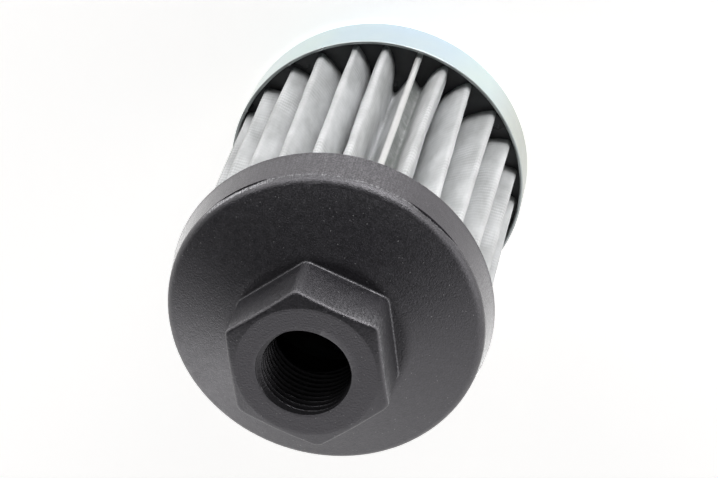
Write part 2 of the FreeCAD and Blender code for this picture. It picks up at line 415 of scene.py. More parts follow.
def plainSteelMaterial(name):
    look = steelLooks[name]
    mat, tree, shader = startMaterial(name)
    place = objectPlace(tree)
    lines = noiseNode(stretchNode(place, steelLooks["lineStretch"]), look["lines"], 3.0)
    cloud = rangeNode(noiseNode(place, steelLooks["cloudScale"], 3.0), 0.35, 0.65)
    darker = tuple(c * look["darkShare"] for c in look["colour"])
    feed(shader, {
        "Base Color": mixColours(cloud, darker, look["colour"]),
        "Metallic": look["metal"],
        "Roughness": rangeNode(lines, 0.3, 0.7, *look["roughness"]),
        "Normal": bumpNode(lines, 0.3, steelLooks["lineHeight"]),
    })
    return mat


resinLook = {
    "colour": (0.020, 0.021, 0.022), "paleColour": (0.042, 0.044, 0.046),
    "roughness": (0.22, 0.45), "cloudScale": 140, "rippleScale": 420, "rippleHeight": 0.0002,
}


def resinMaterial():
    look = resinLook
    mat, tree, shader = startMaterial("pottingResin")
    place = objectPlace(tree)
    cloud = noiseNode(place, look["cloudScale"], 4.0)
    feed(shader, {
        "Base Color": mixColours(rangeNode(cloud, 0.35, 0.65), look["colour"], look["paleColour"]),
        "Roughness": rangeNode(cloud, 0.3, 0.7, *look["roughness"]),
        "Normal": bumpNode(noiseNode(place, look["rippleScale"], 2.0), 0.3, look["rippleHeight"]),
    })
    return mat


# the threaded cap: one surface that runs once round its section, with the hexagon and thread in its radii

capShape = {
    "skirtZ": 71.4, "skirtRadius": 35.0, "skirtInside": 32.8, "skirtLip": 0.2,
    "skirtRows": (0.5, 2, 4, 5.5),      # mm above the lip
    "rimZ": 80.7, "rimRadius": 33.75, "rimRounding": 3.0, "rimSteps": 12,
    # the ledge at the parting line of the mould: its height, and where it comes and goes
    "partingStep": 0.42, "partingSide": 77, "partingReach": (24, 32, 38, 50),
    "landZ": 88.1, "landRadius": 18.875, "landBlend": 4.0,
    "coneRows": (0.012, 0.05, 0.2, 0.4, 0.6, 0.8, 0.95), "landSteps": 6,
    "acrossFlats": 32.0, "cornerSide": 90, "cornerRounding": 2.0, "baseFillet": 0.45, "filletSteps": 5,
    "faceZ": 101.6, "faceCircle": 14.8, "chamferDegrees": 15.0, "edgeRounding": 1.0,
    "frontRows": (0.06, 0.5, 0.92, 1.0), "faceRows": (13, 12, 11.2),
    # columns round the cap, in degrees from a corner of the hexagon, and closer together there
    "columns": (0, 0.6, 1.2, 1.8, 2.4, 3.0, 3.6, 4.4, 6, 8, 10.5, 13, 15.5, 18, 20.5, 23, 26, 30),
    "minorRadius": 9.3155, "majorRadius": 10.4775, "pitch": 1.814, "threadStart": 12.0,
    "grooveFrom": 0.86, "flankShare": 0.72, "flankSoftness": 0.45, "rowsPerTurn": 16,
    "mouthBreak": 0.18, "portBottomZ": 85.1,
    "chamberRadius": 13.45, "spigotRadius": 16.05, "spigotZ": 73.1, "roofZ": 78.1,
    "innerEdge": 0.3, "spigotEdge": 0.2,
    # wear and painted light and shade by side, then how strong it is and how many degrees from that side it reaches
    "wearAndHighlight": {
        # the worn side gets wear with a painted highlight, the highlight side a painted highlight, and the skirt's
        # shade side painted shade
        "wornAndLitSide": 76, "highlightSide": 117, "skirtShadeSide": 34,
        "lip": (0.3, 0.5), "foot": 0.5, "mouth": 0.15, "spigotTip": 0.3,
        "skirt": 0.16, "skirtWornAndLit": 0.34, "skirtWornAndLitReach": (5, 30),
        "skirtLimbLight": 0.4, "skirtLimbLightReach": (50, 72, 95, 125), "skirtShadeReach": (4, 26),
        "rim": 0.05, "rimReach": (22, 58), "highlightReach": (7, 18),
        # over the rim's rounding, as shares of it
        "line": 0.9, "lineRows": (-0.02, 0.08, 0.1, 0.28),
        "haze": 0.30, "hazeRows": (0, 0.1, 0.2, 1.0),
        "polishAndHighlight": 3.6, "highlightRows": (0.05, 0.2, 0.3, 0.5),
        "satin": 0.8, "satinRows": (0, 0.2),
        "cone": (0.10, 0.08, 0.03),
        # up the hexagon's sides (share of the height, wear with painted highlight), and row by row over their front
        # edge
        "sides": ((0.012, 0), (0.3, 0.02), (0.55, 0.08), (0.78, 0.22), (0.97, 0.45)), "sideCorner": 0.12,
        "edge": (0.5, 0.55, 0.5, 0.3, 0.12, 0.04, 0, 0, 0, 0), "edgeCorner": (0.2, 0.2, 0.2),
        "edgeBase": 0.5, "edgeMore": 0.9, "edgeReach": (12, 55), "cornerReach": (1.0, 4.6),
    },
}

# what follows from these: the skirt's lean, the cone's slope and the radii where it blends into the land
skirtLean = (capShape["rimRadius"] - capShape["skirtRadius"]) / (capShape["rimZ"] - capShape["skirtZ"])
coneRise = capShape["landZ"] - capShape["rimZ"]
coneSlope = math.degrees(math.atan2(coneRise, capShape["rimRadius"] - capShape["landRadius"]))
softStart = capShape["landRadius"] + capShape["landBlend"] * math.tan(math.radians(coneSlope / 2))
softEnd = 2 * capShape["landRadius"] - softStart


def hexRadius(degrees):
    # distance from the axis to the side of the hexagon, with its rounded corners
    turn = math.radians((degrees - capShape["cornerSide"] + 30) % 60 - 30)      # 0 at a corner
    flat = capShape["acrossFlats"] / 2
    rounding = capShape["cornerRounding"]
    centre = (flat - rounding) / math.cos(math.radians(30))
    meets = math.atan2(rounding * 0.5, centre + rounding * math.cos(math.radians(30)))
    if abs(turn) > meets:
        return flat / math.cos(math.radians(30) - abs(turn))
    return centre * math.cos(turn) + math.sqrt(rounding ** 2 - (centre * math.sin(turn)) ** 2)


def threadRadius(degrees, z):
    # right-hand thread: crests at the minor radius, grooves at the major radius, 55 degree flanks
    s = capShape
    turns = (z - degrees / 360 * s["pitch"]) / s["pitch"] + s["threadStart"] / 360
    along = abs((turns % 1.0) - 0.5) * 2        # 0 in a groove, 1 on a crest
    groove = min(max((s["grooveFrom"] - along) / s["flankShare"], 0.0), 1.0)
    soft = smoothStep(groove, 0.0, 1.0)
    return s["minorRadius"] + (s["majorRadius"] - s["minorRadius"]) * blendTo(groove, soft, s["flankSoftness"])


def boreRadius(degrees, z):
    # the thread, with the broken edge at its mouth
    s = capShape
    return max(threadRadius(degrees, z), s["minorRadius"] + s["mouthBreak"] - (s["faceZ"] - z))


def frontZ(r):
    # height of the conical front, which runs softly into the land round the hexagon
    s = capShape
    if r > softStart:
        return s["landZ"] - (r - s["landRadius"]) * math.tan(math.radians(coneSlope))
    if r < softEnd:
        return s["landZ"]
    return s["landZ"] - (s["landBlend"] - math.sqrt(s["landBlend"] ** 2 - (r - softEnd) ** 2))


def chamferZ(r):
    # height of the hexagon's turned-down front
    s = capShape
    return s["faceZ"] - (r - s["faceCircle"]) * math.tan(math.radians(s["chamferDegrees"]))


def partingStep(a):
    s = capShape
    comes = window(apart(a, s["partingSide"]), *s["partingReach"])
    return s["partingStep"] * comes * (0.85 + 0.4 * waver(a * 0.04, 0, 3.1))


def skirtWearAndLight(a):
    # painted light and shade over some wear: lighter on the worn side and at the limbs, darker on the shade side
    w = capShape["wearAndHighlight"]
    away = apart(a, w["wornAndLitSide"])
    wornAndLit = w["skirtWornAndLit"] * (1 - smoothStep(away, *w["skirtWornAndLitReach"]))
    limbLight = w["skirtLimbLight"] * window(away, *w["skirtLimbLightReach"])
    return (w["skirt"] + wornAndLit + limbLight) * smoothStep(apart(a, w["skirtShadeSide"]), *w["skirtShadeReach"])


def rimWearAndHighlight(strength, polishAndHighlight=0.0):
    # speckled wear with a painted highlight on the worn side, and a smooth painted highlight on the highlight side
    w = capShape["wearAndHighlight"]

    def wearAndHighlight(a):
        wornAndLit = 1 - smoothStep(apart(a, w["wornAndLitSide"]), *w["rimReach"])
        highlighted = 1 - smoothStep(apart(a, w["highlightSide"]), *w["highlightReach"])
        return strength * (w["rim"] + (1 - w["rim"]) * wornAndLit) + polishAndHighlight * highlighted
    return wearAndHighlight


def sideWearAndHighlight(edge, corner):
    # the front edge is worn, with a painted highlight that grows away from the top corner; the top corner's own
    # upright edge has a painted highlight too
    w = capShape["wearAndHighlight"]

    def wearAndHighlight(a):
        fromTop = apart(a, capShape["cornerSide"])
        along = w["edgeBase"] + w["edgeMore"] * smoothStep(fromTop, *w["edgeReach"])
        return edge * along + corner * (1 - smoothStep(fromTop, *w["cornerReach"]))
    return wearAndHighlight


def station(shape, rubbedAndLit=0.0, frontRing=0.0, satin=0.0, threaded=0.0):
    # one row round the cap: (r, z), or a function that gives them for an angle, and its marks
    return shape, {"rubbedAndLit": rubbedAndLit, "frontRing": frontRing, "satin": satin, "threaded": threaded}


def rimArc():
    # the rounding touches the skirt and the cone, which would meet at the rim
    s = capShape
    skirtTurn, coneTurn = math.degrees(math.atan(-skirtLean)), 90 - coneSlope
    middleTurn = math.radians((skirtTurn + coneTurn) / 2)
    away = s["rimRounding"] / math.cos(math.radians((coneTurn - skirtTurn) / 2))
    centreR = s["rimRadius"] - away * math.cos(middleTurn)
    centreZ = s["rimZ"] - away * math.sin(middleTurn)
    return arcPoints(centreR, centreZ, s["rimRounding"], skirtTurn, coneTurn, s["rimSteps"])


def skirtStations(rimStartZ):
    s = capShape
    lip, foot = s["skirtLip"], s["skirtZ"]
    flatWear, cornerWear = s["wearAndHighlight"]["lip"]
    rows = [station((s["skirtInside"] + lip, foot)), station((s["skirtRadius"] - lip, foot), flatWear)]
    rows += [station(point, cornerWear) for point in arcPoints(s["skirtRadius"] - lip, foot + lip, lip, -70, 0, 3)]
    # the last two rows are close to the rim, so that the skirt is shaded flat up to it
    for z in [foot + up for up in s["skirtRows"]] + [rimStartZ - 0.12, rimStartZ - 0.02]:
        # the skirt's lighter and darker sides are painted light and shade
        rows.append(station((s["skirtRadius"] + skirtLean * (z - foot), z), skirtWearAndLight, satin=1.0))
    return rows


def rimStations(rim):
    w = capShape["wearAndHighlight"]
    rows = []
    for i, (r, z) in enumerate(rim):
        share = i / (len(rim) - 1)

        def rounded(a, r=r, z=z, share=share):
            return r - partingStep(a) * (1 - share) ** 2, z
        # a painted highlight along the rim's rounding, over speckled wear
        wornAndLit = w["line"] * window(share, *w["lineRows"]) + w["haze"] * window(share, *w["hazeRows"])
        highlighted = w["polishAndHighlight"] * window(share, *w["highlightRows"])
        satin = w["satin"] * (1 - smoothStep(share, *w["satinRows"]))
        rows.append(station(rounded, rimWearAndHighlight(wornAndLit, highlighted), satin=satin))
    return rows


def coneStations(rimEndRadius):
    s = capShape
    fillet, wearAndHighlight = s["baseFillet"], s["wearAndHighlight"]["cone"]
    radii = [blendTo(rimEndRadius, softStart, share) for share in s["coneRows"]]
    radii += [blendTo(softStart, softEnd, i / s["landSteps"]) for i in range(s["landSteps"] + 1)]
    rows = []
    for i, r in enumerate(radii):
        clear = 0.01 * (len(radii) - i)     # keeps the rows apart where they pass the hexagon

        def cone(a, r=r, clear=clear):
            reach = max(r, hexRadius(a) + fillet + clear)
            return reach, frontZ(reach)
        # the rim's painted highlight fades out over the first rows of the cone
        rows.append(station(cone, rimWearAndHighlight(wearAndHighlight[i]) if i < len(wearAndHighlight) else 0))
    for i in range(s["filletSteps"] + 1):
        turn = math.radians(90 * i / s["filletSteps"])

        def base(a, turn=turn):
            foot = hexRadius(a) + fillet
            return foot - fillet * math.sin(turn), frontZ(foot) + fillet * (1 - math.cos(turn))
        # painted highlight: a pale line along the fillet at the hexagon's foot
        rows.append(station(base, s["wearAndHighlight"]["foot"] * math.sin(math.pi * i / s["filletSteps"]) ** 2))
    return rows


def hexagonStations():
    s, w = capShape, capShape["wearAndHighlight"]
    rounding, rows = s["edgeRounding"], []
    for share, rubbedAndLit in w["sides"]:
        def side(a, share=share):
            r = hexRadius(a)
            low = frontZ(r + s["baseFillet"]) + s["baseFillet"]
            return r, blendTo(low, chamferZ(r) - rounding, share)
        # the sides grow paler towards the front edge: a painted highlight over wear
        rows.append(station(side, sideWearAndHighlight(rubbedAndLit, w["sideCorner"])))
    # rounded edge between the side and the turned-down front
    turnTotal = 90 - s["chamferDegrees"]
    reach = rounding * math.tan(math.radians(turnTotal / 2))
    for i, rubbedAndLit in enumerate(w["edge"]):
        turn = math.radians(turnTotal * i / (len(w["edge"]) - 1))

        def edge(a, turn=turn):
            r = hexRadius(a)
            return r - rounding * (1 - math.cos(turn)), chamferZ(r) - reach + rounding * math.sin(turn)
        corner = w["edgeCorner"][i] if i < len(w["edgeCorner"]) else 0
        rows.append(station(edge, sideWearAndHighlight(rubbedAndLit, corner)))
    for share in s["frontRows"]:
        def front(a, share=share):
            r = blendTo(hexRadius(a) - rounding, s["faceCircle"] + 0.12, share)
            return r, chamferZ(r)
        rows.append(station(front))
    for r in (s["faceCircle"] - 0.15, s["faceCircle"] - 0.6, *s["faceRows"]):
        rows.append(station((r, s["faceZ"]), frontRing=1.0))
    return rows


def portStations():
    # mouth and thread
    s = capShape

    def mouth(a):
        return boreRadius(a, s["faceZ"]) + 0.04, s["faceZ"]
    rows = [station(mouth, s["wearAndHighlight"]["mouth"], 1.0)]
    startZ = s["faceZ"] - 0.02
    depth = startZ - s["portBottomZ"]
    rowsDown = int(depth / s["pitch"] * s["rowsPerTurn"])
    for i in range(rowsDown + 1):
        def bore(a, z=startZ - depth * i / rowsDown):
            return boreRadius(a, z), z
        rows.append(station(bore, threaded=1.0))
    return rows


def insideStations():
    # chamber, spigot, roof and the inside of the skirt
    s = capShape
    edge, spigotEdge = s["innerEdge"], s["spigotEdge"]
    chamber, spigot, floorZ, tipZ = s["chamberRadius"], s["spigotRadius"], s["portBottomZ"], s["spigotZ"]
    rows = [station((s["majorRadius"] + edge, floorZ)), station((chamber - edge, floorZ))]
    rows += [station(point) for point in arcPoints(chamber - edge, floorZ - edge, edge, 90, 0, 3)[1:]]

    def runTo(*end):
        rows.extend(station(point) for point in withSupport(rows[-1][0], end) + [end])

    runTo(chamber, tipZ + spigotEdge)
    tip = [(chamber + spigotEdge, tipZ), (spigot - edge, tipZ), (spigot, tipZ + edge)]
    rows.extend(station(point, s["wearAndHighlight"]["spigotTip"]) for point in tip)
    runTo(spigot, s["roofZ"])
    runTo(s["skirtInside"], s["roofZ"])
    runTo(s["skirtInside"], s["skirtZ"] + s["skirtLip"])
    return rows


def finishSlot(marks):
    # plain, satin on the skirt, or the port's own, a less shiny copy that stands in for shade in the bore
    if marks["satin"] == 1.0:
        return 1
    return 2 if marks["threaded"] == 1.0 else 0


def makeThreadedCap():
    rim = rimArc()
    rows = skirtStations(rim[0][1]) + rimStations(rim) + coneStations(rim[-1][0])
    rows += hexagonStations() + portStations() + insideStations()
    steps = capShape["columns"]
    sector = [-d for d in reversed(steps[1:-1])] + list(steps)
    angles = [capShape["cornerSide"] + 60 * k + d for k in range(6) for d in sector]
    cap = gridObject("threadedCap", turnedRows([shape for shape, _ in rows], angles), True, True, 50)
    for mark in ("rubbedAndLit", "frontRing", "satin", "threaded"):
        values = [marks[mark] for _, marks in rows]
        pointShade(cap, mark, [v(a) if callable(v) else v for v in values for a in angles])
    for face in cap.data.polygons:
        face.material_index = finishSlot(rows[face.index // len(angles)][1])
    return cap


# the closed cap: a pressed cup of thin sheet

cupShape = {
    "height": 12.0, "sheet": 0.8, "outside": 34.5, "cornerRounding": 2.0, "edgeBreak": 0.38,
    "columns": 216, "floorRows": (0.4, 8, 20),
    "shearedFrom": (0.8, 0.3),      # shares of the edge break below the lip
}


def makeClosedCap():
    s = cupShape
    angles = [360 * i / s["columns"] for i in range(s["columns"])]
    outside, corner, tip, top = s["outside"], s["cornerRounding"], s["edgeBreak"], s["height"]
    inside, inner = outside - s["sheet"], corner - s["sheet"]
    profile = [(r, 0) for r in (*s["floorRows"], outside - corner - 0.3)]
    profile += arcPoints(outside - corner, corner, corner, -90, 0, 10)
    profile += withSupport((outside, corner), (outside, top - tip))
    profile += arcPoints(outside - tip, top - tip, tip, 0, 80, 3)
    profile += arcPoints(inside + tip, top - tip, tip, 100, 180, 3)
    profile += withSupport((inside, top - tip), (inside, corner))
    profile += arcPoints(inside - inner, corner, inner, 0, -90, 6)
    profile += [(r, s["sheet"]) for r in (inside - inner - 0.3, *reversed(s["floorRows"]))]
    cup = gridObject("closedCap", turnedRows(profile, angles), False, True, 50)
    closeHole(cup, 0, s["columns"])
    closeHole(cup, len(profile) - 1, s["columns"])
    # the lip is cut after plating, and its darker grey is also painted shade
    start, full = (top - tip * share for share in s["shearedFrom"])
    pointShade(cup, "shearedAndShaded", [smoothStep(p.co.z / mm, start, full) for p in cup.data.vertices])
    return cup


# the pleated cloth, folded round circles at its tips and roots

pleatShape = {
    "count": 27, "seam": 65.5, "thickness": 0.35, "bottomZ": 8.7, "topZ": 74.7,
    "tipRadius": 32.4, "tipFold": 0.75, "tipSteps": 5,
    "coreRadius": 17.0, "coreGap": 0.15, "rootFold": 0.6, "rootSteps": 2, "seamBend": 1.0, "seamSteps": 4,
    "rootShift": 0.6,       # the share of the tips' shifts that a root takes
    "firstRootLift": 3.5, "lastRootLift": 7.0,      # how much less deep the folds beside the clip are
    # how far the tips stand from even spacing, in degrees, counted from the seam
    "closedEndShifts": {
        -5: -1.0, -4: -0.9, -3: 0.2, -2: 2.8, -1: 1.6, 0: 0.0,
        1: 0.8, 2: 0.1, 3: 2.1, 4: 2.7, 5: 4.8, 6: 5.4, 7: 3.4,
    },
    "portEndShifts": {
        -5: 1.0, -4: 1.5, -3: 1.8, -2: 1.6, -1: 3.8, 0: 0.0,
        1: -0.4, 2: -1.6, 3: -0.8, 4: 0.8, 5: 1.5, 6: 2.0, 7: 2.0,
    },
    # how far the tips reach beyond the even circle at the closed end
    "closedEndReach": {-6: 0.6, -5: 0.6, -4: 0.5, -3: 0.2, 5: 0.4, 6: 1.0, 7: 1.2, 8: 0.8, 9: 0.5},
    "looseShift": 0.4, "looseRadius": 0.2,
    # the runs between the folds belly outwards, most of all near the tip
    "belly": 1.1, "bellySpread": 0.2, "bellyRun": 13, "bellySkew": 1.5,
    "runRows": (0.14, 0.38, 0.62, 0.86),
    "gluedFrom": (3.0, 5.5, 8.5, 12.5),     # from the cloth's last end
    # dents: height, and how fast they change along the fold and up the axis
    "dents": (0.40, 0.11, 0.045), "ripples": (0.10, 0.5, 0.13),
    "heldEnds": 6, "heldAtCore": (1.2, 5), "tipBand": 1.2, "dentsAtTip": 0.3,
    # ribs of the weave, which come out in patches and near the threaded cap: at the tips, and off them
    "ribPitch": 1.42, "ribHeight": 0.09, "rowsPerRib": 4, "ribBase": 0.06, "ribPatches": 0.7,
    "ribStrength": (1.4, 0.8), "ribNearRim": (3.4, 0.8), "ribRimZ": (59, 69), "ribDrift": 0.8,
    "patchRates": (0.12, 0.06), "driftRates": (0.12, 0.03),
}


def sideNumber(number):
    # tips are counted both ways from the seam
    return number if number <= pleatShape["count"] / 2 else number - pleatShape["count"]


def pleatPlan():
    # for each tip: its shift at the closed end and at the port end, how far it stands back, and its two bellies
    s = pleatShape
    plan = []
    for number in range(s["count"] + 1):
        loose = random.uniform(-1, 1) * s["looseShift"]
        shifts = []
        for seen in (s["closedEndShifts"], s["portEndShifts"]):
            last, first = max(seen), min(seen) + s["count"]
            hidden = blendTo(seen[max(seen)], seen[min(seen)], (number - last) / (first - last)) + loose
            shifts.append(seen.get(sideNumber(number), hidden))
        bellies = [s["belly"] * (1 + random.uniform(-1, 1) * s["bellySpread"]) for _ in range(2)]
        plan.append((shifts, random.uniform(0, 1) * s["looseRadius"], bellies))
    return plan


def clothCircles(plan, end):
    # circles as (x, y, turn radius, steps, belly of the run that follows)
    s, c = pleatShape, clipShape
    pitch = 360 / s["count"]
    tip = s["tipRadius"] - s["thickness"] / 2 - s["tipFold"]
    root = s["coreRadius"] + s["coreGap"] + s["thickness"] / 2 + s["rootFold"]
    layer = (c["layerGap"] + s["thickness"]) / 2
    bendX, bendY = c["outside"] - c["depth"] - s["seamBend"], layer + s["seamBend"]
    circles = [(c["outside"] - c["halfWidth"], layer, 0, 1, 0), (bendX, bendY, -s["seamBend"], s["seamSteps"], 0)]
    lifts = {0: s["firstRootLift"], s["count"] - 1: s["lastRootLift"]}

    def addFold(reach, degrees, radius, steps, belly):
        turn = math.radians(degrees)
        circles.append((reach * math.cos(turn), reach * math.sin(turn), radius, steps, belly))

    for number in range(s["count"]):
        shifts, back, bellies = plan[number + 1]
        middle = (plan[number][0][end] + shifts[end]) / 2
        rootTurn = (number + 0.5) * pitch + middle * s["rootShift"]
        addFold(root + lifts.get(number, 0), rootTurn, -s["rootFold"], s["rootSteps"], bellies[0])
        if number < s["count"] - 1:
            if end == 0:
                back -= s["closedEndReach"].get(sideNumber(number + 1), 0)
            addFold(tip - back, (number + 1) * pitch + shifts[end], s["tipFold"], s["tipSteps"], bellies[1])
    circles[-1] = circles[-1][:4] + (0,)
    circles += [(bendX, -bendY, -s["seamBend"], s["seamSteps"], 0), (c["outside"] - c["halfWidth"], -layer, 0, 1, 0)]
    return circles


def runDirection(start, end):
    # heading of the straight run that touches two circles
    lean = math.asin((end[2] - start[2]) / math.dist(start[:2], end[:2]))
    return math.atan2(end[1] - start[1], end[0] - start[0]) - lean


def clothPath(circles):
    # points, normals to the left and the distance gone, along the middle of the cloth
    s = pleatShape
    runs = [runDirection(a, b) for a, b in zip(circles, circles[1:])]
    path = []
    for number, (x, y, turnRadius, steps, belly) in enumerate(circles):
        arrive = runs[max(number - 1, 0)]
        leave = runs[min(number, len(runs) - 1)]
        swing = math.remainder(leave - arrive, 2 * math.pi)
        if swing * turnRadius < 0:
            swing += math.copysign(2 * math.pi, turnRadius)
        for i in range(steps + 1):
            heading = arrive + swing * i / steps
            px, py = x + turnRadius * math.sin(heading), y - turnRadius * math.cos(heading)
            if steps > 1 or i == 0:
                path.append((px, py, heading))
        if number < len(runs):
            nextX, nextY, nextTurn = circles[number + 1][:3]
            heading = runs[number]
            endX, endY = nextX + nextTurn * math.sin(heading), nextY - nextTurn * math.cos(heading)
            outwards = math.hypot(px, py) < math.hypot(endX, endY)
            size = belly * min(math.dist((px, py), (endX, endY)) / s["bellyRun"], 1)
            for share in s["runRows"]:
                skewed = share ** s["bellySkew"] if outwards else 1 - (1 - share) ** s["bellySkew"]
                bow = size * math.sin(math.pi * skewed)
                lean = size * math.pi * math.cos(math.pi * skewed) / s["bellyRun"]
                path.append((blendTo(px, endX, share) + bow * math.sin(heading),
                             blendTo(py, endY, share) - bow * math.cos(heading), heading - lean))
    gone, last, out = 0.0, path[0], []
    for point in path:
        gone += math.dist(point[:2], last[:2])
        last = point
        out.append((point[0], point[1], -math.sin(point[2]), math.cos(point[2]), gone))
    return out


def clothMove(radius, offTip, gone, z):
    # soft dents, which fade where the cloth is held: at its ends, at the core and at the tips
    s = pleatShape
    free = window(z, s["bottomZ"], s["bottomZ"] + s["heldEnds"], s["topZ"] - s["heldEnds"], s["topZ"])
    near, full = s["heldAtCore"]
    offCore = smoothStep(radius, s["coreRadius"] + near, s["coreRadius"] + full)
    (dent, dentAlong, dentUp), (ripple, rippleAlong, rippleUp) = s["dents"], s["ripples"]
    height = dent * waver(gone * dentAlong, z * dentUp, 0.0)
    height += ripple * waver(gone * rippleAlong, z * rippleUp, 7.0)
    return height * free * offCore * blendTo(s["dentsAtTip"], 1.0, offTip)


def ribMove(offTip, gone, z):
    # ribs of the weave, which drift a little up and down along the fold
    s = pleatShape
    along, up = s["patchRates"]
    strength = s["ribBase"] + s["ribPatches"] * max(waver(gone * along, z * up, 21.0), 0)
    strength = strength * blendTo(*s["ribStrength"], offTip)
    strength += smoothStep(z, *s["ribRimZ"]) * blendTo(*s["ribNearRim"], offTip)
    along, up = s["driftRates"]
    drift = s["ribDrift"] * waver(gone * along, z * up, 40.0)
    return s["ribHeight"] * strength * math.sin(2 * math.pi * (z / s["ribPitch"] + drift))


def makePleatedCloth():
    s = pleatShape
    plan = pleatPlan()
    path, portPath = (clothPath(clothCircles(plan, end)) for end in (0, 1))
    turn = Matrix.Rotation(math.radians(s["seam"]), 3, "Z")
    half = s["thickness"] / 2

    def sheetPoints(rowCount, side):
        # the outside is side -1 and carries the ribs
        points = []
        for i in range(rowCount + 1):
            share = i / rowCount
            z = blendTo(s["bottomZ"], s["topZ"], share)
            for near, far in zip(path, portPath):
                x, y, nx, ny = (blendTo(a, b, share) for a, b in zip(near[:4], far[:4]))
                radius = math.hypot(x, y)
                offTip = 1 - smoothStep(radius, s["tipRadius"] - s["tipBand"], s["tipRadius"])
                move = clothMove(radius, offTip, near[4], z)
                rib = ribMove(offTip, near[4], z) if side < 0 else 0.0
                reach = side * half + move + rib * side
                points.append(turn @ Vector((x + nx * reach, y + ny * reach, z)) * mm)
        return points

    rowsOut = int((s["topZ"] - s["bottomZ"]) / s["ribPitch"] * s["rowsPerRib"])
    rowsIn = 8
    outer, inner = sheetPoints(rowsOut, -1), sheetPoints(rowsIn, 1)
    columns, start = len(path), len(outer)
    faces, places = [], []

    def place(column, z):
        # the map is in decimetres
        return path[column][4] / 100, z / 100

    # the outside and inside faces, as (row, column) steps round each quad
    outOrder, inOrder = ((0, 0), (1, 0), (1, 1), (0, 1)), ((0, 0), (0, 1), (1, 1), (1, 0))
    for first, rowCount, order in ((0, rowsOut, outOrder), (start, rowsIn, inOrder)):
        for i in range(rowCount):
            for j in range(columns - 1):
                for up, along in order:
                    places.append(place(j + along, blendTo(s["bottomZ"], s["topZ"], (i + up) / rowCount)))
                faces.append([first + (i + up) * columns + j + along for up, along in order])
    # the two long edges join them, and the ends of the sheet are inside the clip
    for outRow, inRow, z, upper in ((0, 0, s["bottomZ"], False), (rowsOut, rowsIn, s["topZ"], True)):
        for j in range(columns - 1):
            a, b = outRow * columns + j, start + inRow * columns + j
            corners = [(a, j), (a + 1, j + 1), (b + 1, j + 1), (b, j)]
            if upper:
                corners.reverse()
            faces.append([point for point, _ in corners])
            places += [place(column, z) for _, column in corners]
    mesh = meshOf("pleatedCloth", outer + inner, faces)
    mesh.uv_layers.new(name="clothPlace").data.foreach_set("uv", [v for pair in places for v in pair])
    cloth = finishMesh("pleatedCloth", mesh, 60)
    glued = [window(path[-1][4] - point[4], *s["gluedFrom"]) for point in path]
    pointShade(cloth, "glued", glued * (rowsOut + rowsIn + 2))
    return cloth


# the clip over the two ends of the cloth

clipShape = {
    "outside": 32.65, "halfWidth": 0.75, "sheet": 0.35, "depth": 5.0, "layerGap": 0.1,
    "bottomZ": 8.5, "topZ": 74.9, "rows": 60, "mouthEdge": (0.08, 0.1),
    "sway": 0.06, "swayRate": 0.07, "pinch": 0.03, "pinchRate": 0.25, "pinchDepth": 0.6,
}


def makeSeamClip():
    c = clipShape
    bendX = c["outside"] - c["halfWidth"]
    mouth = c["outside"] - c["depth"]
    slot = c["halfWidth"] - c["sheet"]
    inset, edge = c["mouthEdge"]

    def face(half, steps):
        points = [(mouth + inset, -half), (blendTo(mouth, bendX, 0.5), -half)]
        for i in range(steps + 1):
            turn = math.radians(180 * i / steps)
            points.append((bendX + half * math.sin(turn), -half * math.cos(turn)))
        return points + [(blendTo(mouth, bendX, 0.5), half), (mouth + inset, half)]

    outline = face(c["halfWidth"], 10) + [(mouth, c["halfWidth"] - edge), (mouth, slot + edge)]
    outline += face(slot, 6)[::-1] + [(mouth, -slot - edge), (mouth, -c["halfWidth"] + edge)]
    turn = Matrix.Rotation(math.radians(pleatShape["seam"]), 3, "Z")
    rows = []
    for i in range(c["rows"] + 1):
        z = blendTo(c["bottomZ"], c["topZ"], i / c["rows"])
        sway = c["sway"] * math.sin(math.pi * i / c["rows"]) * waver(3.0, 0.0, z * c["swayRate"])
        pinch = c["pinch"] * waver(9.0, 0.0, z * c["pinchRate"])
        inwards = abs(pinch) * c["pinchDepth"]
        rows.append([turn @ Vector((x - inwards, y * (1 + pinch) + sway, z)) * mm for x, y in outline])
    return gridObject("seamClip", rows, False, True, 45)


# the core tube, a sheet with round holes rolled up

coreShape = {
    "radius": 17.0, "sheet": 0.8, "bottomZ": 0.85, "topZ": 78.05,
    "holeWidth": 7.0, "holesPerRow": 6, "rowPitch": 14.0, "firstRow": 20.7, "rows": 4,
    "pointsPerSide": 12,                # on each side of the cell round a hole
    "rings": (0, 0.04, 0.35, 0.7, 1),   # from the hole to the cell's border
}


